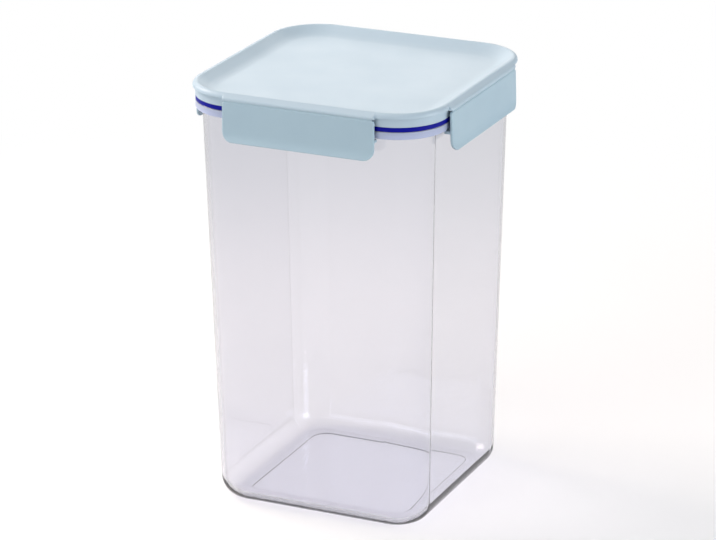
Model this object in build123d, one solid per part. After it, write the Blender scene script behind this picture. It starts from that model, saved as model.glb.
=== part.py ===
from build123d import *
import math
import os

# Tall square food storage container with a dished lid and a clip on each of its four sides.
# Millimetres. The origin is under the middle of the base, +Z is up, and the front faces -Y.

# Overall
lid_width = 160.0            # outer edge to outer edge of the lid's rim, the same both ways
overall_height = 262.0       # table to the lid's rim
rim_corner = 31.5            # corner radius of the rim, seen from above

# Lid
rim_round = 2.6              # rounding of the rim's upper outer edge
rim_band = 0.3               # straight band between the rim's two roundings
rim_lower_round = 0.3        # rounding of the rim's lower outer edge
rim_overhang = 1.5           # the rim stands out this far past the skirt
dish_depth = 5.0             # the flat panel lies this far under the rim
dish_slope = 30.0            # steepness of the dish's side, degrees
dish_shoulder = 2.0          # rounding between the rim's crest and the dish's side
dish_foot = 14.0             # rounding between the dish's side and the flat panel
panel_thickness = 2.2
skirt_drop = 5.2             # the skirt reaches this far under the rim
skirt_thickness = 2.0
channel_roof = 2.2           # the gasket channel's roof lies this far under the rim's underside
plug_thickness = 2.0         # wall that drops into the container's mouth
plug_reach = 4.4             # how far that wall goes below the container's top
plug_clearance = 0.5         # between that wall and the mouth

# Hinge bars: over each clip the rim is deeper and stands out to the clip's face
bar_reach = 1.8              # past the rim's edge
bar_drop = 0.6               # under the rim
bar_slope = 30.0             # fall of the bar's top, degrees
bar_round = 1.5              # rounding between its top and its outer face
bar_lower_round = 0.5        # rounding of its lower outer edge
bar_corner = 1.0             # its outer corners, seen from above

# Gasket
gasket_height = 2.7          # the band that shows between the skirt and the flange
gasket_setback = 0.1         # its edge lies this far inside the skirt's face
root_clearance = 0.2         # from the part held in the lid's channel to its walls and roof

# Container
wall = 2.2
draft = 1.32                 # lean of each side wall, degrees
body_inset = 6.2             # body's outer face at its top, measured in from the rim's edge
body_corner_top = 23.0
body_corner_base = 21.8
base_round = 12.0            # rounding where the walls meet the base
floor_thickness = 2.4
foot_height = 0.8            # the middle of the base is raised by this, and a ring stands
foot_width = 5.0             # flat width of that ring
foot_edge = 0.5              # rounding of the raised middle's edge
flange_height = 4.5          # from the container's top to the bottom of the turned-down lip
flange_web = 2.0
flange_lip = 1.8
flange_round = 0.5

# Clips
clip_width = 96.0
clip_height = 23.7
clip_thickness = 1.6
clip_top_round = 0.6         # rounding of the upper outer edge
clip_lean = 0.6              # the face leans out this far before the flare
clip_flare = 1.2             # and the flare takes the lower edge this much further
clip_flare_height = 12.0
clip_corner = 6.5            # lower corners, seen from the front
clip_upper_corner = 1.5
clip_edge = 0.5              # rounding along the outer face's border
rib_height = 2.4             # locking rib on the inner face
rib_hook = 1.7               # how far it reaches in under the flange's lip
rib_clearance = 0.2          # under the lip

# Living hinges
hinge_gap = 0.8              # free height of the thin web between the bar and the clip
hinge_thickness = 0.5
hinge_inset = 0.35           # the web's outer face, in from the bar's
hinge_margin = 0.5           # the web stops this far short of the bar's corners

# The four sides, in order round from +X
sides = ("right", "back", "left", "front")
quarter_turn = 360 / len(sides)

# Heights and half widths worked out from the sizes above
rim_half = lid_width / 2
rim_under = overall_height - rim_round - rim_band - rim_lower_round
panel_top = overall_height - dish_depth
panel_under = panel_top - panel_thickness
skirt_half = rim_half - rim_overhang
skirt_corner = rim_corner - rim_overhang
skirt_bottom = rim_under - skirt_drop
roof_z = rim_under - channel_roof
container_top = skirt_bottom - gasket_height
lip_bottom = container_top - flange_height
body_half_top = rim_half - body_inset
lean = math.tan(math.radians(draft))
body_half_base = body_half_top - container_top * lean
bar_outer = rim_half + bar_reach
bar_under = rim_under - bar_drop
clip_outer = bar_outer
clip_inner = clip_outer - clip_thickness
clip_top = bar_under - hinge_gap
clip_bottom = clip_top - clip_height
rib_top = lip_bottom - rib_clearance


def body_half(z):
    """Half width of the container's outer wall at height z."""
    return body_half_base + z * lean


def body_corner(z):
    """Corner radius of the container's outer wall at height z."""
    return body_corner_base + (body_corner_top - body_corner_base) * z / container_top


mouth_half = body_half_top - wall
mouth_corner = body_corner_top - wall
plug_half = mouth_half - plug_clearance
plug_corner = mouth_corner - plug_clearance


def outline(half, corner, z):
    """A flat square with round corners at height z."""
    return Pos(0, 0, z) * RectangleRounded(2 * half, 2 * half, corner)


def slab(half, corner, low, high):
    """A square plate with round corners between two heights."""
    return extrude(outline(half, corner, low), high - low)


def frame(half, corner, width, low, high):
    """A square ring of even width with round corners."""
    return slab(half, corner, low, high) - slab(half - width, corner - width, low, high)


def around(section):
    """Carry a section, drawn on the XZ plane at the right side, round the rim's outline."""
    straight = rim_half - rim_corner
    side = extrude(section, straight, both=True)
    corner_face = Pos(0, straight, 0) * section
    corner = revolve(corner_face, Axis((straight, straight, 0), (0, 0, 1)), 90)
    ring = side + corner
    for number in range(1, len(sides)):
        ring += Rot(0, 0, number * quarter_turn) * (side + corner)
    return ring


def rim_section():
    """Section of the lid's rim and dish side, from the outer edge in to the flat panel."""
    slope = math.radians(dish_slope)
    crest = rim_half - rim_round
    shoulder_run = dish_shoulder * math.sin(slope)
    shoulder_drop = dish_shoulder * (1 - math.cos(slope))
    foot_run = dish_foot * math.sin(slope)
    foot_drop = dish_foot * (1 - math.cos(slope))
    slope_drop = dish_depth - shoulder_drop - foot_drop
    slope_run = slope_drop / math.tan(slope)
    slope_start = (crest - shoulder_run, overall_height - shoulder_drop)
    slope_end = (slope_start[0] - slope_run, slope_start[1] - slope_drop)
    flat_edge = (slope_end[0] - foot_run, panel_top)

    lower_edge = (rim_half, rim_under + rim_lower_round)
    upper_edge = (rim_half, overall_height - rim_round)
    half_slope = math.radians(dish_slope / 2)
    shoulder_mid = (
        crest - dish_shoulder * math.sin(half_slope),
        overall_height - dish_shoulder * (1 - math.cos(half_slope)),
    )
    foot_mid = (
        flat_edge[0] + dish_foot * math.sin(half_slope),
        panel_top + dish_foot * (1 - math.cos(half_slope)),
    )
    with BuildSketch(Plane.XZ) as section:
        with BuildLine():
            Line((skirt_half, roof_z), (skirt_half, rim_under))
            Line((skirt_half, rim_under), (rim_half - rim_lower_round, rim_under))
            RadiusArc((rim_half - rim_lower_round, rim_under), lower_edge, -rim_lower_round)
            Line(lower_edge, upper_edge)
            RadiusArc(upper_edge, (crest, overall_height), -rim_round)
            ThreePointArc((crest, overall_height), shoulder_mid, slope_start)
            Line(slope_start, slope_end)
            ThreePointArc(slope_end, foot_mid, flat_edge)
            Line(flat_edge, (flat_edge[0], roof_z))
            Line((flat_edge[0], roof_z), (skirt_half, roof_z))
        make_face()
    return section.sketch, flat_edge[0]


def bar_section():
    """Section of the hinge bar at the right side. Its top leaves the rim's rounding at a tangent."""
    slope = math.radians(bar_slope)
    start_x = rim_half - rim_round + rim_round * math.sin(slope)
    start_z = overall_height - rim_round + rim_round * math.cos(slope)
    corner_z = start_z - (bar_outer - start_x) * math.tan(slope)
    buried = skirt_half - skirt_thickness / 2
    line = Polyline(
        (buried, bar_under),
        (bar_outer, bar_under),
        (bar_outer, corner_z),
        (start_x, start_z),
        (buried, rim_under),
        close=True,
    )
    face = make_face(line)
    face = fillet(face.vertices().group_by(Axis.X)[-1].sort_by(Axis.Y)[-1], bar_round)
    face = fillet(face.vertices().group_by(Axis.Y)[0].sort_by(Axis.X)[-1], bar_lower_round)
    return Plane.XZ * face


def hinge_bar():
    """The bar of the lid that the right-hand clip hangs from."""
    bar = extrude(bar_section(), clip_width / 2, both=True)
    seen_from_above = Rectangle(2 * bar_outer, clip_width)
    seen_from_above = fillet(seen_from_above.vertices().group_by(Axis.X)[-1], bar_corner)
    return bar & extrude(seen_from_above, overall_height)


def lid():
    section, flat_half = rim_section()
    flat_corner = rim_corner - (rim_half - flat_half)
    body = around(section)
    body += slab(flat_half, flat_corner, panel_under, panel_top)
    body += slab(plug_half, plug_corner, panel_under, roof_z)
    body += frame(skirt_half, skirt_corner, skirt_thickness, skirt_bottom, rim_under)
    plug_bottom = container_top - plug_reach
    body += frame(plug_half, plug_corner, plug_thickness, plug_bottom, roof_z)
    for number in range(len(sides)):
        body += Rot(0, 0, number * quarter_turn) * hinge_bar()
    return body


def gasket():
    """Flat ring on the container's top, with a root held in the lid's channel."""
    pad_half = skirt_half - gasket_setback
    pad = slab(pad_half, skirt_corner - gasket_setback, container_top, skirt_bottom)
    pad -= slab(plug_half, plug_corner, container_top, skirt_bottom)
    inner_half = skirt_half - skirt_thickness
    inner_corner = skirt_corner - skirt_thickness
    root_top = roof_z - root_clearance
    root = slab(inner_half - root_clearance, inner_corner - root_clearance, skirt_bottom, root_top)
    root -= slab(plug_half + root_clearance, plug_corner + root_clearance, skirt_bottom, root_top)
    return pad + root


def container():
    shell = loft(
        [
            outline(body_half_base, body_corner_base, 0),
            outline(body_half_top, body_corner_top, container_top),
        ],
        ruled=True,
    )
    shell = fillet(shell.edges().group_by(Axis.Z)[0], base_round)

    rim = slab(skirt_half, skirt_corner, container_top - flange_web, container_top)
    rim += frame(skirt_half, skirt_corner, flange_lip, lip_bottom, container_top)
    rim = fillet(rim.edges().group_by(Axis.Z)[0], flange_round)
    rim = fillet(rim.edges().group_by(Axis.Z)[-1], flange_round)

    floor_z = foot_height + floor_thickness
    inside_round = base_round - wall
    hollow = loft(
        [
            outline(body_half(floor_z) - wall, body_corner(floor_z) - wall, floor_z),
            outline(mouth_half, mouth_corner, container_top),
        ],
        ruled=True,
    )
    hollow = fillet(hollow.edges().group_by(Axis.Z)[0], inside_round)

    recess_half = body_half_base - base_round - foot_width
    recess_corner = body_corner_base - base_round
    recess = slab(recess_half, recess_corner, 0, foot_height)
    recess = fillet(recess.edges().group_by(Axis.Z)[-1], foot_edge)
    return shell + rim - hollow - recess


def clip_face(offset):
    """The clip's outer or inner line on the XZ plane, from under its top to its lower edge."""
    flare_top = clip_bottom + clip_flare_height
    knee = (offset + clip_lean, flare_top)
    upper = Line((offset, clip_top - clip_top_round), knee)
    lower_edge = (offset + clip_lean + clip_flare, clip_bottom)
    TangentArc(knee, lower_edge, tangent=upper % 1)
    return lower_edge


def clip_section():
    """Section of the clip at the right side, without its locking rib."""
    shoulder = clip_top - clip_top_round
    with BuildSketch(Plane.XZ) as section:
        with BuildLine():
            outer_edge = clip_face(clip_outer)
            inner_edge = clip_face(clip_inner)
            Line(outer_edge, inner_edge)
            Line((clip_inner, shoulder), (clip_inner, clip_top))
            Line((clip_inner, clip_top), (clip_outer - clip_top_round, clip_top))
            RadiusArc((clip_outer - clip_top_round, clip_top), (clip_outer, shoulder), clip_top_round)
        make_face()
    return section.sketch


def rib_section():
    """Section of the locking rib: flat on top, sloping back underneath."""
    root = clip_inner + clip_lean + clip_thickness / 2
    tip = skirt_half - rib_hook
    with BuildSketch(Plane.XZ) as section:
        with BuildLine():
            Polyline(
                (root, rib_top),
                (tip, rib_top),
                (tip, rib_top - rib_height / 2),
                (clip_inner, rib_top - rib_height),
                (root, rib_top - rib_height),
                close=True,
            )
        make_face()
    return section.sketch


def rounded_border(plate):
    """Round the outer face's border, all but the top edge, which is round already."""
    outer_faces = plate.faces().filter_by(lambda face: face.normal_at().X > 0.2)
    edges = [edge for face in outer_faces for edge in face.edges()]
    border = []
    for edge in edges:
        on_one_face = sum(edge.is_same(other) for other in edges) == 1
        if on_one_face and edge.center().Z < clip_top - clip_top_round / 2:
            border.append(edge)
    return fillet(border, clip_edge)


def clip_block(corner_row, radius):
    """The clip's outline from the front, made deep, with its lower (0) or upper (-1) corners round."""
    face = Rectangle(clip_width, clip_height)
    face = fillet(face.vertices().group_by(Axis.Y)[corner_row], radius)
    seen_from_outside = Plane((clip_inner, 0, (clip_top + clip_bottom) / 2), (0, 1, 0), (1, 0, 0))
    return extrude(seen_from_outside * face, clip_thickness + clip_lean + clip_flare)


def clip():
    """The clip at the right side of the lid."""
    plate = extrude(clip_section(), clip_width / 2, both=True)
    plate = rounded_border(plate & clip_block(0, clip_corner))
    plate = plate & clip_block(-1, clip_upper_corner)
    rib = extrude(rib_section(), clip_width / 2, both=True)
    return plate + rib


def hinge_web():
    """The thin strip that joins the right-hand clip to its bar."""
    outer = bar_outer - hinge_inset
    length = clip_width - 2 * (bar_corner + hinge_margin)
    middle = (outer - hinge_thickness / 2, 0, (bar_under + clip_top) / 2)
    return Pos(*middle) * Box(hinge_thickness, length, hinge_gap)


parts = {"container": container(), "lid": lid(), "gasket": gasket()}
for number, side in enumerate(sides):
    turn = Rot(0, 0, number * quarter_turn)
    parts["clip_" + side] = turn * clip()
    parts["hinge_" + side] = turn * hinge_web()

os.makedirs("parts", exist_ok=True)
for name, part in parts.items():
    export_step(part, "parts/" + name + ".step")
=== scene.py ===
import math

import bmesh
import bpy
from mathutils import Matrix, Vector


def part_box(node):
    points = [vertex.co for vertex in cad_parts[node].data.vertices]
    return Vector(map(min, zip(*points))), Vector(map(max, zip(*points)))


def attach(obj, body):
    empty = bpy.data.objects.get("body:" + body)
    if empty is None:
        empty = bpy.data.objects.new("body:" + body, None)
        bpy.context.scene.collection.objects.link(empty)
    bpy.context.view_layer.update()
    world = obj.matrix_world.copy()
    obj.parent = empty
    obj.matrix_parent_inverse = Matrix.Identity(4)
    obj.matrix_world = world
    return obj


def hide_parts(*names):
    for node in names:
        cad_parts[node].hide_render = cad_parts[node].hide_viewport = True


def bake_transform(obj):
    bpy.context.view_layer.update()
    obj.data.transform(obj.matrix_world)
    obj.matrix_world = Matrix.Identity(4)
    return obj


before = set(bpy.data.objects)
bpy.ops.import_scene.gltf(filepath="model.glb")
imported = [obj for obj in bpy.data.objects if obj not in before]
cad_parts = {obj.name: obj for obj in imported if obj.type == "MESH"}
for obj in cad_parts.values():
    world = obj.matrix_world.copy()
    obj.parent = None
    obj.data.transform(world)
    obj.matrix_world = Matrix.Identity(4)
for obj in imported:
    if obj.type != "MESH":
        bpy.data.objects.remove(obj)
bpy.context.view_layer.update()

# A tall square food container of clear plastic with a pale blue lid, a locking clip on each side,
# the thin living hinges that carry the clips, and a navy sealing ring. Shapes are drawn in
# millimetres and brought to metres as each piece is finished. +Z is up and the front faces -Y.

MM = 0.001

SIDES = {"right": 0, "back": 90, "left": 180, "front": 270}     # degrees round from +X


def node_box(node):
    """Lowest and highest corner of a frame node, in millimetres."""
    low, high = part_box(node)
    return low / MM, high / MM


lid_low, lid_high = node_box("lid")
_, container_high = node_box("container")
_, gasket_high = node_box("gasket")
clip_low, clip_high = node_box("clip_right")
web_low, web_high = node_box("hinge_right")

# Hinge bars, the deeper stretch of the rim over each clip
BAR_OUTER = lid_high.x             # outer face, from the middle
BAR_REACH = 1.8                    # past the rim's edge
BAR_UNDER = web_high.z             # underside, where the living hinges start
BAR_DROP = 0.6                     # under the rim
BAR_SLOPE = 30.0                   # fall of the top, degrees
BAR_ROUND = 1.5
BAR_LOWER_ROUND = 0.5
BAR_CORNER = 1.0                   # outer corners, seen from above
BAR_SUNK = 0.03                    # its top starts this far inside the rim's rounding
BAR_END_STEPS = 5                  # faces round those corners

# Lid
RIM_HALF = BAR_OUTER - BAR_REACH   # outer edge of the rim, from the middle
RIM_TOP = lid_high.z
RIM_UNDER = BAR_UNDER + BAR_DROP   # underside of the rim
RIM_CENTRE = 48.5                  # the rim's corners turn round points this far out
RIM_ROUND = 2.6                    # rounding of the rim's upper edge
RIM_LOWER_ROUND = 0.3
DISH_DEPTH = 5.0                   # the panel lies this far under the rim
DISH_SLOPE = 30.0                  # degrees
DISH_SHOULDER = 2.0
DISH_FOOT = 14.0
PANEL = 2.2                        # thickness of the panel
SKIRT_HALF = container_high.x      # the skirt is flush with the container's flange
SKIRT_WALL = 2.0
SKIRT_TOP_ROUND = 0.2              # where the skirt runs up into the rim
SKIRT_FOOT_ROUND = 0.35
CHANNEL_ROUND = 0.3                # edges of the gasket's channel
PLUG_HALF = 71.1                   # wall that drops into the container's mouth
PLUG_WALL = 2.0
PLUG_ROUND = 0.6                   # lower edges of the plug wall
PLUG_ROOT_ROUND = 1.0              # where it runs up into the panel
MOUTH_CENTRE = 50.8                # the mouth's and plug's corners turn round points this far out

# Gasket
PAD_TOP = 253.6                    # the skirt rests on the gasket at this height
ROOT_GAP = 0.2                     # round the gasket's root in the lid's channel
SILICONE_ROUND = 0.45              # soft edges of the silicone
PAD_FALL = 0.1                     # the pad's upper face falls this much towards the plug

# Container
TOP = container_high.z
BODY_HALF_TOP = 73.8
BODY_HALF_BASE = 68.02
BASE_CENTRE = 46.22                # the body's corners turn round points this far out at the base
WALL = 2.2
BASE_ROUND = 12.0
FLOOR = 2.4
FOOT_HEIGHT = 0.8                  # ring under the floor that the container stands on
FOOT_WIDTH = 5.0
FOOT_ROUND = 0.3
MOUTH_ROUND = 0.4                  # inner edge of the mouth
FLANGE_HEIGHT = 4.5
FLANGE_WEB = 2.0
FLANGE_LIP = 1.8
FLANGE_ROUND = 0.5
FLANGE_ROOT_ROUND = 0.4            # hollows behind the flange

# Clips
CLIP_HALF = clip_high.y            # half the width of a clip
CLIP_THICKNESS = 1.6
CLIP_INNER = BAR_OUTER - CLIP_THICKNESS   # inner face at the top
CLIP_SHOULDER = 0.6                # the face is upright this far down from the top
CLIP_LEAN = 0.45                   # lean of the upper face
CLIP_FLARE = 1.35                  # extra reach of the lower edge
CLIP_FLARE_HEIGHT = 6.5
CLIP_LOWER_CORNER = 6.5
CLIP_UPPER_CORNER = 1.5
CLIP_EDGE = 0.7                    # rounding of the outer face's border
CLIP_INNER_EDGE = 0.25
RIB_HEIGHT = 2.4
RIB_TIP = clip_low.x               # the locking rib reaches in this far
RIB_GAP = 0.2                      # under the flange
RIB_TOP = TOP - FLANGE_HEIGHT - RIB_GAP

# Hinge webs
WEB_OVERLAP = 0.1                  # into the rim above and into the clip below
WEB_ROWS = 12
WEB_WAIST = 1.2                    # thickness at half height, as a share of the node's
WEB_SPREAD = 0.5                   # added to that share at both ends

# How finely round shapes are drawn
CORNER_STEPS = 24                  # faces round each corner, seen from above
ARC_STEP = 12.0                    # degrees of a section's arc to each face
STRIP = 0.8                        # height of the strips that a clip is cut into
MIDDLE_RING = 3.0                  # flat middles start this far past the corners' centres
SHARP_ANGLE = 40.0                 # edges over this many degrees are shaded as edges

# Distances under which two places count as one
CUT_WITHIN = 1e-5
SAME_PLACE = 1e-4
MERGE_WITHIN = 1e-3
NEAR_ENOUGH = 0.01


# Shapes

def cut_across(bm, place, normal):
    """Cut every face of a mesh along a plane, and keep both sides."""
    bmesh.ops.bisect_plane(bm, geom=bm.verts[:] + bm.edges[:] + bm.faces[:], dist=CUT_WITHIN,
                           plane_co=place, plane_no=normal)


def rounded_section(corners, closed=False):
    """A section's line with round corners, as (distance from the middle, height) in order.

    Each corner is its distance from the middle, its height and its rounding radius.
    """
    bm = bmesh.new()
    verts = [bm.verts.new((x, 0, z)) for x, z, _ in corners]
    for first, second in zip(verts, verts[1:] + verts[:1] * closed):
        bm.edges.new((first, second))
    for vert, (_, _, radius) in zip(verts, corners):
        if radius:
            one, other = (edge.other_vert(vert).co - vert.co for edge in vert.link_edges)
            turn = math.pi - one.angle(other)
            bmesh.ops.bevel(
                bm, geom=[vert], offset=radius * math.tan(turn / 2), offset_type="OFFSET",
                segments=max(2, round(math.degrees(turn) / ARC_STEP)), profile=0.5,
                affect="VERTICES", material=-1,
            )
    bm.verts.ensure_lookup_table()
    start = bm.verts[0] if closed else verts[0]
    line = []
    vert, edge = start, None
    while vert is not None:
        line.append((vert.co.x, vert.co.z))
        edge = next((e for e in vert.link_edges if e is not edge), None)
        vert = edge.other_vert(vert) if edge else None
        if vert is start:
            vert = None
    bm.free()
    return line


def ring(half, centre, z):
    """A square loop of edges with round corners that turn round points at the given distance out."""
    bm = bmesh.new()
    half_step = math.pi / (4 * CORNER_STEPS)
    bmesh.ops.create_circle(
        bm, segments=4 * CORNER_STEPS, radius=half - centre,
        matrix=Matrix.Translation((0, 0, z)) @ Matrix.Rotation(half_step, 4, "Z"),
    )
    for vert in bm.verts:
        vert.co.x += math.copysign(centre, vert.co.x)
        vert.co.y += math.copysign(centre, vert.co.y)
    return bm


def carried_round(line, centre_at, closed=False):
    """A section's line carried round the container: one ring of edges, drawn out from point to point."""
    half, z = line[0]
    centre = centre_at(half, z)
    bm = ring(half, centre, z)
    first = last = bm.edges[:]
    for next_half, next_z in line[1:] + line[:1] * closed:
        next_centre = centre_at(next_half, next_z)
        grow = (next_half - next_centre) / (half - centre)
        drawn = bmesh.ops.extrude_edge_only(bm, edges=last)["geom"]
        fresh = {part for part in drawn if isinstance(part, bmesh.types.BMVert)}
        last = [part for part in drawn if isinstance(part, bmesh.types.BMEdge) and set(part.verts) <= fresh]
        for vert in fresh:
            for axis in (0, 1):
                out = abs(vert.co[axis]) - centre
                vert.co[axis] = math.copysign(next_centre + out * grow, vert.co[axis])
            vert.co.z = next_z
        half, centre = next_half, next_centre
    if closed:
        bmesh.ops.remove_doubles(bm, verts=bm.verts, dist=MERGE_WITHIN)
    else:
        for end in (first, last):
            bmesh.ops.edgeloop_fill(bm, edges=end)
    bmesh.ops.recalc_face_normals(bm, faces=bm.faces)
    return bm


def lid_mesh():
    """The dished lid: panel, raised rim, outer skirt, gasket channel and the plug wall inside."""
    slope = math.tan(math.radians(DISH_SLOPE))
    crest = RIM_HALF - RIM_ROUND - DISH_SHOULDER * math.tan(math.radians(DISH_SLOPE / 2))
    panel_z = RIM_TOP - DISH_DEPTH
    panel_under = panel_z - PANEL
    channel_outer = SKIRT_HALF - SKIRT_WALL
    channel_z = RIM_UNDER - PANEL
    plug_inner = PLUG_HALF - PLUG_WALL
    line = rounded_section([
        (RIM_CENTRE + MIDDLE_RING, panel_z, 0),
        (crest - DISH_DEPTH / slope, panel_z, DISH_FOOT),
        (crest, RIM_TOP, DISH_SHOULDER),
        (RIM_HALF, RIM_TOP, RIM_ROUND),
        (RIM_HALF, RIM_UNDER, RIM_LOWER_ROUND),
        (SKIRT_HALF, RIM_UNDER, SKIRT_TOP_ROUND),
        (SKIRT_HALF, PAD_TOP, SKIRT_FOOT_ROUND),
        (channel_outer, PAD_TOP, CHANNEL_ROUND),
        (channel_outer, channel_z, CHANNEL_ROUND),
        (PLUG_HALF, channel_z, CHANNEL_ROUND),
        (PLUG_HALF, lid_low.z, PLUG_ROUND),
        (plug_inner, lid_low.z, PLUG_ROUND),
        (plug_inner, panel_under, PLUG_ROOT_ROUND),
        (MOUTH_CENTRE + MIDDLE_RING, panel_under, 0),
    ])

    def centre_at(half, z):
        under_panel = z < panel_under + NEAR_ENOUGH and half < PLUG_HALF + NEAR_ENOUGH
        plug = half < (PLUG_HALF + channel_outer) / 2 and z < channel_z + NEAR_ENOUGH
        return MOUTH_CENTRE if under_panel or plug else RIM_CENTRE

    return carried_round(line, centre_at)


def hinge_bar_mesh():
    """The bar of the rim that the right-hand clip hangs from. Its ends round off into the rim."""
    slope = math.radians(BAR_SLOPE)
    start_x = RIM_HALF - RIM_ROUND + (RIM_ROUND - BAR_SUNK) * math.sin(slope)
    start_z = RIM_TOP - RIM_ROUND + (RIM_ROUND - BAR_SUNK) * math.cos(slope)
    buried = SKIRT_HALF - SKIRT_WALL / 2
    section = rounded_section([
        (buried, BAR_UNDER, 0),
        (BAR_OUTER, BAR_UNDER, BAR_LOWER_ROUND),
        (BAR_OUTER, start_z - (BAR_OUTER - start_x) * math.tan(slope), BAR_ROUND),
        (start_x, start_z, 0),
        (buried, RIM_UNDER, 0),
    ], closed=True)
    bm = bmesh.new()
    end = bm.faces.new([bm.verts.new((x, -CLIP_HALF, z)) for x, z in section])
    drawn = bmesh.ops.extrude_face_region(bm, geom=[end], use_keep_orig=True)["geom"]
    far = [part for part in drawn if isinstance(part, bmesh.types.BMVert)]
    bmesh.ops.translate(bm, verts=far, vec=(0, 2 * CLIP_HALF, 0))
    straight = CLIP_HALF - BAR_CORNER
    for step in range(BAR_END_STEPS):
        into_corner = BAR_CORNER * math.sin(math.pi / 2 * step / BAR_END_STEPS)
        for way in (-1, 1):
            cut_across(bm, (0, way * (straight + into_corner), 0), (0, 1, 0))
    for vert in bm.verts:
        into_corner = max(0, abs(vert.co.y) - straight)
        lost = BAR_CORNER - math.sqrt(max(0, BAR_CORNER ** 2 - into_corner ** 2))
        vert.co.x -= (vert.co.x - buried) / (BAR_OUTER - buried) * lost
    bmesh.ops.recalc_face_normals(bm, faces=bm.faces)
    return bm


def gasket_mesh():
    """The silicone ring: a flat pad between the skirt and the flange, with a root above it."""
    root_outer = SKIRT_HALF - SKIRT_WALL - ROOT_GAP
    root_inner = PLUG_HALF + ROOT_GAP
    line = rounded_section([
        (gasket_high.x, TOP, SILICONE_ROUND),
        (gasket_high.x, PAD_TOP, SILICONE_ROUND),
        (root_outer, PAD_TOP, 0),
        (root_outer, gasket_high.z, SILICONE_ROUND),
        (root_inner, gasket_high.z, SILICONE_ROUND),
        (root_inner, PAD_TOP, 0),
        (PLUG_HALF, PAD_TOP - PAD_FALL, 0),
        (PLUG_HALF, TOP, SILICONE_ROUND),
    ], closed=True)
    middle = (root_outer + root_inner) / 2

    def centre_at(half, z):
        return RIM_CENTRE if half > middle else MOUTH_CENTRE

    return carried_round(line, centre_at, closed=True)


def body_half(z):
    """Half width of the container's outer wall at a height."""
    return BODY_HALF_BASE + (BODY_HALF_TOP - BODY_HALF_BASE) * z / TOP


def body_centre(z):
    """How far out the points lie that the body's corners turn round, at a height."""
    return BASE_CENTRE + (MOUTH_CENTRE - BASE_CENTRE) * z / TOP


def container_mesh():
    """The clear container: floor, tapering walls, turned-down flange and the ring it stands on."""
    floor_z = FOOT_HEIGHT + FLOOR
    lip_z = TOP - FLANGE_HEIGHT
    web_z = TOP - FLANGE_WEB
    lip_inner = SKIRT_HALF - FLANGE_LIP
    foot_inner = BODY_HALF_BASE - BASE_ROUND - FOOT_WIDTH
    recess_centre = BASE_CENTRE - FOOT_WIDTH
    line = rounded_section([
        (body_centre(floor_z) + MIDDLE_RING, floor_z, 0),
        (body_half(floor_z) - WALL, floor_z, BASE_ROUND - WALL),
        (BODY_HALF_TOP - WALL, TOP, MOUTH_ROUND),
        (SKIRT_HALF, TOP, FLANGE_ROUND),
        (SKIRT_HALF, lip_z, FLANGE_ROUND),
        (lip_inner, lip_z, FLANGE_ROUND),
        (lip_inner, web_z, FLANGE_ROOT_ROUND),
        (body_half(web_z), web_z, FLANGE_ROOT_ROUND),
        (BODY_HALF_BASE, 0, BASE_ROUND),
        (foot_inner, 0, FOOT_ROUND),
        (foot_inner, FOOT_HEIGHT, FOOT_ROUND),
        (recess_centre + MIDDLE_RING, FOOT_HEIGHT, 0),
    ])
    flange_inner = (lip_inner + body_half(web_z)) / 2

    def centre_at(half, z):
        if z > lip_z - NEAR_ENOUGH and half > flange_inner:
            return RIM_CENTRE
        if z < FOOT_HEIGHT + NEAR_ENOUGH and half < foot_inner + FOOT_WIDTH / 2:
            return recess_centre
        return body_centre(z)

    return carried_round(line, centre_at)


def clip_reach(z):
    """How far the clip's faces stand out at a height, past where they are at its top."""
    flare_top = clip_low.z + CLIP_FLARE_HEIGHT
    lean_height = clip_high.z - CLIP_SHOULDER - flare_top
    slope = CLIP_LEAN / lean_height
    if z > flare_top:
        return max(0, clip_high.z - CLIP_SHOULDER - z) * slope
    below = (flare_top - z) / CLIP_FLARE_HEIGHT
    straight = slope * CLIP_FLARE_HEIGHT
    return CLIP_LEAN + straight * below + (CLIP_FLARE - straight) * below ** 2


def border_edges(bm, x):
    """The edges that run round the face at this distance from the middle."""
    return [
        edge for edge in bm.edges
        if all(abs(vert.co.x - x) < SAME_PLACE for vert in edge.verts)
        and any(abs(face.normal.x) < 0.5 for face in edge.link_faces)
    ]


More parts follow.
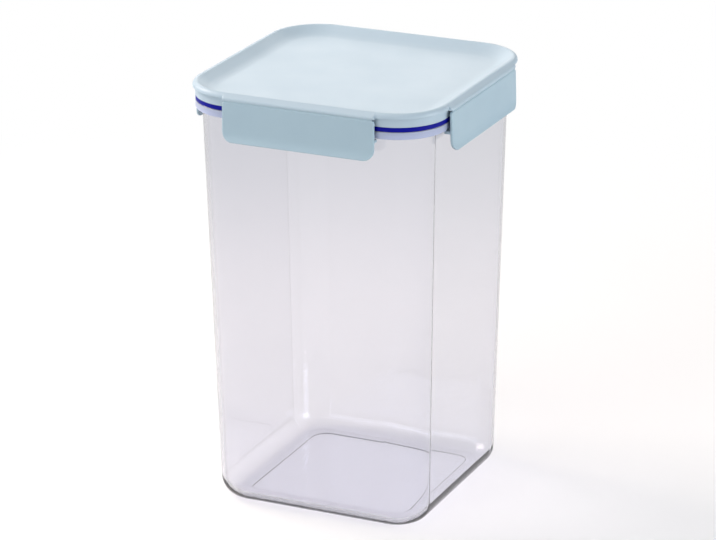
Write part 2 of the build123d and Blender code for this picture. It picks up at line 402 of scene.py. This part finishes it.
def clip_mesh():
    """The right-hand clip: a plate with round corners that flares out at its lower edge, and its rib."""
    height = clip_high.z - clip_low.z
    middle = (clip_high.z + clip_low.z) / 2
    outer = CLIP_INNER + CLIP_THICKNESS
    bm = bmesh.new()
    upright = Matrix(((0, 0, 1, CLIP_INNER), (CLIP_HALF, 0, 0, 0), (0, height / 2, 0, middle), (0, 0, 0, 1)))
    bmesh.ops.create_grid(bm, x_segments=1, y_segments=1, size=1, matrix=upright)
    for lower, radius, segments in ((True, CLIP_LOWER_CORNER, 12), (False, CLIP_UPPER_CORNER, 4)):
        corners = [
            vert for vert in bm.verts
            if (vert.co.z < middle) == lower and abs(abs(vert.co.y) - CLIP_HALF) < SAME_PLACE
            and abs(abs(vert.co.z - middle) - height / 2) < SAME_PLACE
        ]
        bmesh.ops.bevel(bm, geom=corners, offset=radius, offset_type="OFFSET", segments=segments,
                        profile=0.5, affect="VERTICES", material=-1)
    thick = bmesh.ops.extrude_face_region(bm, geom=bm.faces[:])
    raised = [part for part in thick["geom"] if isinstance(part, bmesh.types.BMVert)]
    bmesh.ops.translate(bm, verts=raised, vec=(CLIP_THICKNESS, 0, 0))
    bmesh.ops.recalc_face_normals(bm, faces=bm.faces)
    for x, radius, segments in ((outer, CLIP_EDGE, 4), (CLIP_INNER, CLIP_INNER_EDGE, 2)):
        bmesh.ops.bevel(bm, geom=border_edges(bm, x), offset=radius, offset_type="OFFSET",
                        segments=segments, profile=0.5, affect="EDGES", material=-1)

    rib_low = RIB_TOP - RIB_HEIGHT
    heights = [RIB_TOP, RIB_TOP - RIB_HEIGHT / 2, rib_low]
    heights += [clip_low.z + STRIP * step for step in range(1, int(height / STRIP))]
    for z in heights:
        cut_across(bm, (0, 0, z), (0, 0, 1))
    for vert in bm.verts:
        vert.co.x += clip_reach(vert.co.z)
    bm.normal_update()

    # The rib is drawn in from the wide faces of the rows behind it.
    inner_rows = [
        face for face in bm.faces
        if face.normal.x < -0.9 and rib_low < face.calc_center_median().z < RIB_TOP
        and face.calc_area() > CLIP_HALF
    ]
    rib = bmesh.ops.extrude_face_region(bm, geom=inner_rows)
    rib_verts = [part for part in rib["geom"] if isinstance(part, bmesh.types.BMVert)]
    bmesh.ops.delete(bm, geom=inner_rows, context="FACES")
    for vert in rib_verts:
        if vert.co.z > rib_low + NEAR_ENOUGH:
            vert.co.x = RIB_TIP
    bmesh.ops.remove_doubles(bm, verts=bm.verts, dist=MERGE_WITHIN)
    bmesh.ops.recalc_face_normals(bm, faces=bm.faces)
    return bm


def web_mesh():
    """The thin web of the right-hand living hinge, thicker where it runs into the rim and the clip."""
    middle = (web_low + web_high) / 2
    size = web_high - web_low + Vector((0, 0, 2 * WEB_OVERLAP))
    bm = bmesh.new()
    bmesh.ops.create_cube(bm, size=1, matrix=Matrix.Translation(middle) @ Matrix.Diagonal((*size, 1)))
    for row in range(1, WEB_ROWS):
        cut_across(bm, (0, 0, web_low.z - WEB_OVERLAP + size.z * row / WEB_ROWS), (0, 0, 1))
    for vert in bm.verts:
        out = min(1, abs(vert.co.z - middle.z) / (size.z / 2))
        vert.co.x = middle.x + (vert.co.x - middle.x) * (WEB_WAIST + WEB_SPREAD * out ** 2)
    return bm


def turned(bm, degrees):
    """The same mesh turned about the middle of the container."""
    turn = Matrix.Rotation(math.radians(degrees), 3, "Z")
    bmesh.ops.rotate(bm, verts=bm.verts, cent=(0, 0, 0), matrix=turn)
    return bm


def as_object(name, bm):
    """A new object that holds a drawn shape, brought to metres."""
    bmesh.ops.scale(bm, vec=(MM, MM, MM), verts=bm.verts)
    mesh = bpy.data.meshes.new(name)
    bm.to_mesh(mesh)
    bm.free()
    made = bpy.data.objects.new(name, mesh)
    bpy.context.scene.collection.objects.link(made)
    return made


def grown_together(name, bm, *others):
    """One object out of shapes that overlap, as one moulding."""
    whole = as_object(name, bm)
    extras = [as_object(name + "_part", other) for other in others]
    for extra in extras:
        union = whole.modifiers.new("union", "BOOLEAN")
        union.operation = "UNION"
        union.solver = "EXACT"
        union.object = extra
    bpy.context.view_layer.update()
    evaluated = whole.evaluated_get(bpy.context.evaluated_depsgraph_get())
    united = bpy.data.meshes.new_from_object(evaluated)
    whole.modifiers.clear()
    whole.data = united
    for extra in extras:
        bpy.data.meshes.remove(extra.data)
    return whole


def finished(piece, material, node):
    """Give a piece its shading and material, and let it stand for a frame node."""
    mesh = piece.data
    mesh.shade_smooth()
    mesh.set_sharp_from_angle(angle=math.radians(SHARP_ANGLE))
    mesh.materials.clear()
    mesh.materials.append(material)
    evened = piece.modifiers.new("even shading on flat faces", "WEIGHTED_NORMAL")
    evened.keep_sharp = True
    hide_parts(node)
    return piece


# Materials

def linear(hex_colour):
    """An sRGB hex colour as linear light."""
    parts = [int(hex_colour[i:i + 2], 16) / 255 for i in (1, 3, 5)]
    return (*[c / 12.92 if c <= 0.04045 else ((c + 0.055) / 1.055) ** 2.4 for c in parts], 1)


def add(tree, kind, inputs=None, **settings):
    """Add a node. Its inputs are values, or outputs of other nodes to link.

    A socket goes by its name, or by its number where several share one name.
    """
    node = tree.nodes.new(kind)
    for name, value in settings.items():
        setattr(node, name, value)
    for socket, value in (inputs or {}).items():
        if isinstance(value, bpy.types.NodeSocket):
            tree.links.new(value, node.inputs[socket])
        else:
            node.inputs[socket].default_value = value
    return node


def new_tree(name):
    """A new material and its empty node tree."""
    material = bpy.data.materials.new(name)
    material.use_nodes = True
    material.node_tree.nodes.clear()
    return material, material.node_tree


def satin_polypropylene(name, base, shade):
    """Polypropylene injection moulded in a spark-eroded tool: a satin face with a very fine grain.

    The moulding cools unevenly, so its colour and gloss drift a little over a few centimetres.
    """
    material, tree = new_tree(name)
    place = add(tree, "ShaderNodeTexCoord").outputs["Object"]
    drift = add(tree, "ShaderNodeTexNoise", {"Vector": place, "Scale": 1 / (28 * MM), "Detail": 2.0})
    colour = add(tree, "ShaderNodeMix", {
        "Factor": drift.outputs["Fac"], 6: linear(base), 7: linear(shade),
    }, data_type="RGBA")
    gloss = add(tree, "ShaderNodeMapRange", {
        "Value": drift.outputs["Fac"], "From Min": 0.3, "From Max": 0.7, "To Min": 0.36, "To Max": 0.44,
    })
    # The real grain is about 0.05 mm across, and is drawn ten times as coarse so that it shows.
    grain = add(tree, "ShaderNodeTexNoise", {"Vector": place, "Scale": 1 / (0.5 * MM), "Detail": 1.0})
    bump = add(tree, "ShaderNodeBump", {
        "Height": grain.outputs["Fac"], "Strength": 0.25, "Distance": 0.01 * MM,
    })
    skin = add(tree, "ShaderNodeBsdfPrincipled", {
        "Base Color": colour.outputs[2],
        "Roughness": gloss.outputs["Result"],
        "IOR": 1.49,
        "Normal": bump.outputs["Normal"],
        "Subsurface Weight": 0.12,
        "Subsurface Radius": (1.0, 1.0, 1.0),
        "Subsurface Scale": 1.2 * MM,
    })
    add(tree, "ShaderNodeOutputMaterial", {"Surface": skin.outputs[0]})
    return material


def clear_copolyester(name):
    """Copolyester moulded in a polished tool: water clear, glossy, faintly lavender in the thick.

    A slow swell in the wall, left by the melt's flow, bends what is seen through it a little.
    The flange's side is rougher, less clear and tinted a milky pale lavender where the lid grips it.
    """
    material, tree = new_tree(name)
    place = add(tree, "ShaderNodeTexCoord").outputs["Object"]
    swell = add(tree, "ShaderNodeTexNoise", {"Vector": place, "Scale": 1 / (35 * MM), "Detail": 1.0})
    bump = add(tree, "ShaderNodeBump", {
        "Height": swell.outputs["Fac"], "Strength": 0.4, "Distance": 0.05 * MM,
    })
    height = add(tree, "ShaderNodeSeparateXYZ", {0: place}).outputs["Z"]
    # 0 on the walls, 1 on the flange's side, and little on its upper face, which is polished.
    above = add(tree, "ShaderNodeMapRange", {
        "Value": height, "From Min": (TOP - FLANGE_HEIGHT - 0.3) * MM,
        "From Max": (TOP - FLANGE_HEIGHT + 0.1) * MM,
    })
    below = add(tree, "ShaderNodeMapRange", {
        "Value": height, "From Min": (TOP - 0.4) * MM, "From Max": (TOP - 0.1) * MM,
        "To Min": 1.0, "To Max": 0.25,
    })
    flange = add(tree, "ShaderNodeMath", {0: above.outputs["Result"], 1: below.outputs["Result"]},
                 operation="MULTIPLY").outputs[0]
    tint = add(tree, "ShaderNodeMix", {
        "Factor": flange, 6: linear("#FBFBFE"), 7: linear("#C9D3EE"),
    }, data_type="RGBA")
    clearness = add(tree, "ShaderNodeMapRange", {"Value": flange, "To Min": 1.0, "To Max": 0.35})
    gloss = add(tree, "ShaderNodeMapRange", {"Value": flange, "To Min": 0.02, "To Max": 0.3})
    wall = add(tree, "ShaderNodeBsdfPrincipled", {
        "Base Color": tint.outputs[2],
        "Roughness": gloss.outputs["Result"],
        "IOR": 1.57,
        "Transmission Weight": clearness.outputs["Result"],
        "Normal": bump.outputs["Normal"],
    })
    # Lamps light what is inside and behind the clear wall.
    for_lamps = add(tree, "ShaderNodeBsdfTransparent", {"Color": linear("#F4F4F8")})
    path = add(tree, "ShaderNodeLightPath")
    surface = add(tree, "ShaderNodeMixShader", {
        0: path.outputs["Is Shadow Ray"], 1: wall.outputs[0], 2: for_lamps.outputs[0],
    })
    depth = add(tree, "ShaderNodeVolumeAbsorption", {"Color": linear("#8A8A9C"), "Density": 60.0})
    add(tree, "ShaderNodeOutputMaterial", {"Surface": surface.outputs[0], "Volume": depth.outputs[0]})
    return material


def navy_silicone(name):
    """Silicone rubber, compression moulded: a soft satin face, and a navy that stays deep in shade."""
    material, tree = new_tree(name)
    place = add(tree, "ShaderNodeTexCoord").outputs["Object"]
    bloom = add(tree, "ShaderNodeTexNoise", {"Vector": place, "Scale": 1 / (6 * MM), "Detail": 2.0})
    colour = add(tree, "ShaderNodeMix", {
        "Factor": bloom.outputs["Fac"], 6: linear("#010689"), 7: linear("#030A93"),
    }, data_type="RGBA")
    gloss = add(tree, "ShaderNodeMapRange", {
        "Value": bloom.outputs["Fac"], "From Min": 0.3, "From Max": 0.7, "To Min": 0.42, "To Max": 0.52,
    })
    skin = add(tree, "ShaderNodeBsdfPrincipled", {
        "Base Color": colour.outputs[2], "Roughness": gloss.outputs["Result"], "IOR": 1.41,
        "Specular IOR Level": 0.2,
    })
    add(tree, "ShaderNodeOutputMaterial", {"Surface": skin.outputs[0]})
    return material


lid_plastic = satin_polypropylene("satin_polypropylene_lid", "#BACDD9", "#B5C9D6")
# The clips and hinge webs are the lid's own plastic, painted darker and bluer: painted shade for the lesser
# light on their upright faces.
clip_plastic_painted_shade = satin_polypropylene("satin_polypropylene_clip_painted_shade", "#AFC8D4", "#A9C2D0")
clear_plastic = clear_copolyester("clear_copolyester")
silicone = navy_silicone("navy_silicone")


# Pieces

container = as_object("clear_container", container_mesh())
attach(finished(container, clear_plastic, "container"), "container")
bars = [turned(hinge_bar_mesh(), degrees) for degrees in SIDES.values()]
lid = grown_together("dished_lid", lid_mesh(), *bars)
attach(finished(lid, lid_plastic, "lid"), "lid")
gasket = as_object("sealing_ring", gasket_mesh())
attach(finished(gasket, silicone, "gasket"), "lid")
for side, degrees in SIDES.items():
    clip = as_object("locking_clip_" + side, turned(clip_mesh(), degrees))
    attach(finished(clip, clip_plastic_painted_shade, "clip_" + side), "clip_" + side)
    web = as_object("hinge_web_" + side, turned(web_mesh(), degrees))
    finished(web, clip_plastic_painted_shade, "hinge_" + side)
    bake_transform(web)


# Studio: a pale floor, soft lamps, and the camera at the photograph's angle

CAMERA_AZIMUTH = 24.81             # degrees round from the front, towards the right
CAMERA_HEIGHT = 19.83              # degrees above the horizon
CAMERA_ROLL = -0.34                # degrees
CAMERA_CENTRE = 130.75             # height of the point that it swings round
CAMERA_AWAY = 2067.0               # from that point
CAMERA_RISE = 3.67                 # and then this far up in its own picture
LENS = 172.6                       # focal length
FILM_WIDTH = 36.0

FLOOR_RADIUS = 6.0                 # metres, as the other floor sizes
FLOOR_DROP = 0.0002                # under the container
FLOOR_NEAR, FLOOR_FAR = 0.25, 0.75   # plain white takes over between these distances
FLOOR_PAINT = 0.66                 # of the near floor, which keeps the shadow
FLOOR_GLOW = 0.3                   # added to it where it is seen, so that it looks white
WHITE_IN_GLASS = 0.86              # the far floor's white, mirrored or seen through the clear walls
ROOM_LOW, ROOM_HIGH = 0.55, 0.32   # light of the room at the horizon and overhead


def lamp(name, place, aim, size, power, colour="#FFFFFF"):
    """A soft rectangular lamp at a place, turned to its aim; sizes in metres, power in watts."""
    data = bpy.data.lights.new(name, "AREA")
    data.shape = "RECTANGLE"
    data.size, data.size_y = size
    data.energy = power
    data.color = linear(colour)[:3]
    made = bpy.data.objects.new(name, data)
    made.location = place
    made.rotation_euler = (Vector(aim) - Vector(place)).to_track_quat("-Z", "Y").to_euler()
    made.visible_camera = False
    bpy.context.scene.collection.objects.link(made)
    return made


def studio_floor():
    """A white floor that keeps the object's shadow and goes over to plain white further out."""
    material, tree = new_tree("studio_floor")
    path = add(tree, "ShaderNodeLightPath").outputs
    seen_or_mirrored = add(tree, "ShaderNodeMath", {
        0: path["Is Camera Ray"], 1: path["Is Glossy Ray"],
    }, operation="MAXIMUM")
    seen = add(tree, "ShaderNodeMath", {
        0: seen_or_mirrored.outputs[0], 1: path["Is Transmission Ray"],
    }, operation="MAXIMUM")
    place = add(tree, "ShaderNodeTexCoord").outputs["Object"]
    away = add(tree, "ShaderNodeVectorMath", {0: place}, operation="LENGTH")
    far = add(tree, "ShaderNodeMapRange", {
        "Value": away.outputs["Value"], "From Min": FLOOR_NEAR, "From Max": FLOOR_FAR,
    }, interpolation_type="SMOOTHSTEP")
    far_seen = add(tree, "ShaderNodeMath", {
        0: far.outputs["Result"], 1: seen.outputs[0],
    }, operation="MULTIPLY")
    paint = add(tree, "ShaderNodeBsdfDiffuse", {"Color": (FLOOR_PAINT, FLOOR_PAINT, FLOOR_PAINT, 1)})
    glow_share = add(tree, "ShaderNodeMath", {0: seen.outputs[0], 1: FLOOR_GLOW}, operation="MULTIPLY")
    glow = add(tree, "ShaderNodeEmission", {"Strength": glow_share.outputs[0]})
    near = add(tree, "ShaderNodeAddShader", {0: paint.outputs[0], 1: glow.outputs[0]})
    # In the clear walls the white is a little duller, so that their edges show.
    whiteness = add(tree, "ShaderNodeMix", {0: path["Is Camera Ray"], 2: WHITE_IN_GLASS, 3: 1.0})
    white = add(tree, "ShaderNodeEmission", {"Strength": whiteness.outputs[0]})
    top = add(tree, "ShaderNodeMixShader", {
        0: far_seen.outputs[0], 1: near.outputs[0], 2: white.outputs[0],
    })
    # The floor is clear from below, so that the underside can be seen.
    from_below = add(tree, "ShaderNodeNewGeometry").outputs["Backfacing"]
    clear = add(tree, "ShaderNodeBsdfTransparent")
    surface = add(tree, "ShaderNodeMixShader", {
        0: from_below, 1: top.outputs[0], 2: clear.outputs[0],
    })
    add(tree, "ShaderNodeOutputMaterial", {"Surface": surface.outputs[0]})

    bm = bmesh.new()
    bmesh.ops.create_circle(bm, cap_ends=True, segments=64, radius=FLOOR_RADIUS)
    mesh = bpy.data.meshes.new("studio_floor")
    bm.to_mesh(mesh)
    bm.free()
    mesh.materials.append(material)
    floor = bpy.data.objects.new("studio_floor", mesh)
    floor.location.z = -FLOOR_DROP
    bpy.context.scene.collection.objects.link(floor)


def studio_world():
    """White behind the object and its clear walls, and a softer room, dimmer overhead, that lights it."""
    world = bpy.data.worlds.new("studio")
    world.use_nodes = True
    tree = world.node_tree
    tree.nodes.clear()
    direction = add(tree, "ShaderNodeTexCoord").outputs["Generated"]
    height = add(tree, "ShaderNodeSeparateXYZ", {0: direction}).outputs["Z"]
    room = add(tree, "ShaderNodeMapRange", {
        "Value": height, "From Min": 0.05, "From Max": 0.55, "To Min": ROOM_LOW, "To Max": ROOM_HIGH,
    }, interpolation_type="SMOOTHSTEP")
    path = add(tree, "ShaderNodeLightPath").outputs
    seen = add(tree, "ShaderNodeMath", {0: path["Is Camera Ray"], 1: path["Is Transmission Ray"]},
               operation="MAXIMUM")
    strength = add(tree, "ShaderNodeMix", {0: seen.outputs[0], 2: room.outputs["Result"], 3: 1.0})
    sky = add(tree, "ShaderNodeBackground", {"Color": (1, 1, 1, 1), "Strength": strength.outputs[0]})
    add(tree, "ShaderNodeOutputWorld", {"Surface": sky.outputs[0]})
    bpy.context.scene.world = world


def studio_camera():
    """The camera where the photograph was taken from."""
    turn, lift, roll = (math.radians(a) for a in (CAMERA_AZIMUTH, CAMERA_HEIGHT, CAMERA_ROLL))
    back = Vector((math.sin(turn) * math.cos(lift), -math.cos(turn) * math.cos(lift), math.sin(lift)))
    right = Vector((math.cos(turn), math.sin(turn), 0))
    up = back.cross(right)
    rolled_right = right * math.cos(roll) + up * math.sin(roll)
    rolled_up = up * math.cos(roll) - right * math.sin(roll)
    place = Vector((0, 0, CAMERA_CENTRE)) + back * CAMERA_AWAY + up * CAMERA_RISE
    facing = Matrix((rolled_right, rolled_up, back)).transposed().to_4x4()
    data = bpy.data.cameras.new("camera")
    data.lens = LENS
    data.sensor_width = FILM_WIDTH
    data.clip_start, data.clip_end = 0.1, 30
    camera = bpy.data.objects.new("camera", data)
    camera.matrix_world = Matrix.Translation(place * MM) @ facing
    bpy.context.scene.collection.objects.link(camera)
    bpy.context.scene.camera = camera


studio_floor()
studio_world()
studio_camera()
lamp("left_softbox", (-1.6, 0, 1.4), (0, 0, 0.2), (1.0, 1.0), 34, "#FFF1EA")
lamp("front_left_softbox", (-0.85, -1.81, 1.1), (0, 0, 0.24), (1.6, 1.1), 13, "#F6FAFF")
lamp("right_softbox", (1.97, 0, 0.5), (0, 0, 0.2), (1.0, 1.0), 18, "#F6FAFF")
# The lamp behind the object is not seen through the clear walls.
back_lamp = lamp("back_softbox", (-0.75, 1.6, 1.0), (0, 0, 0.2), (1.6, 1.0), 8)
back_lamp.visible_transmission = False
lamp("top_softbox", (0, -0.94, 1.95), (0, 0, 0.2), (1.0, 1.0), 5, "#FFF8F4")
bpy.context.scene.view_settings.view_transform = "Standard"
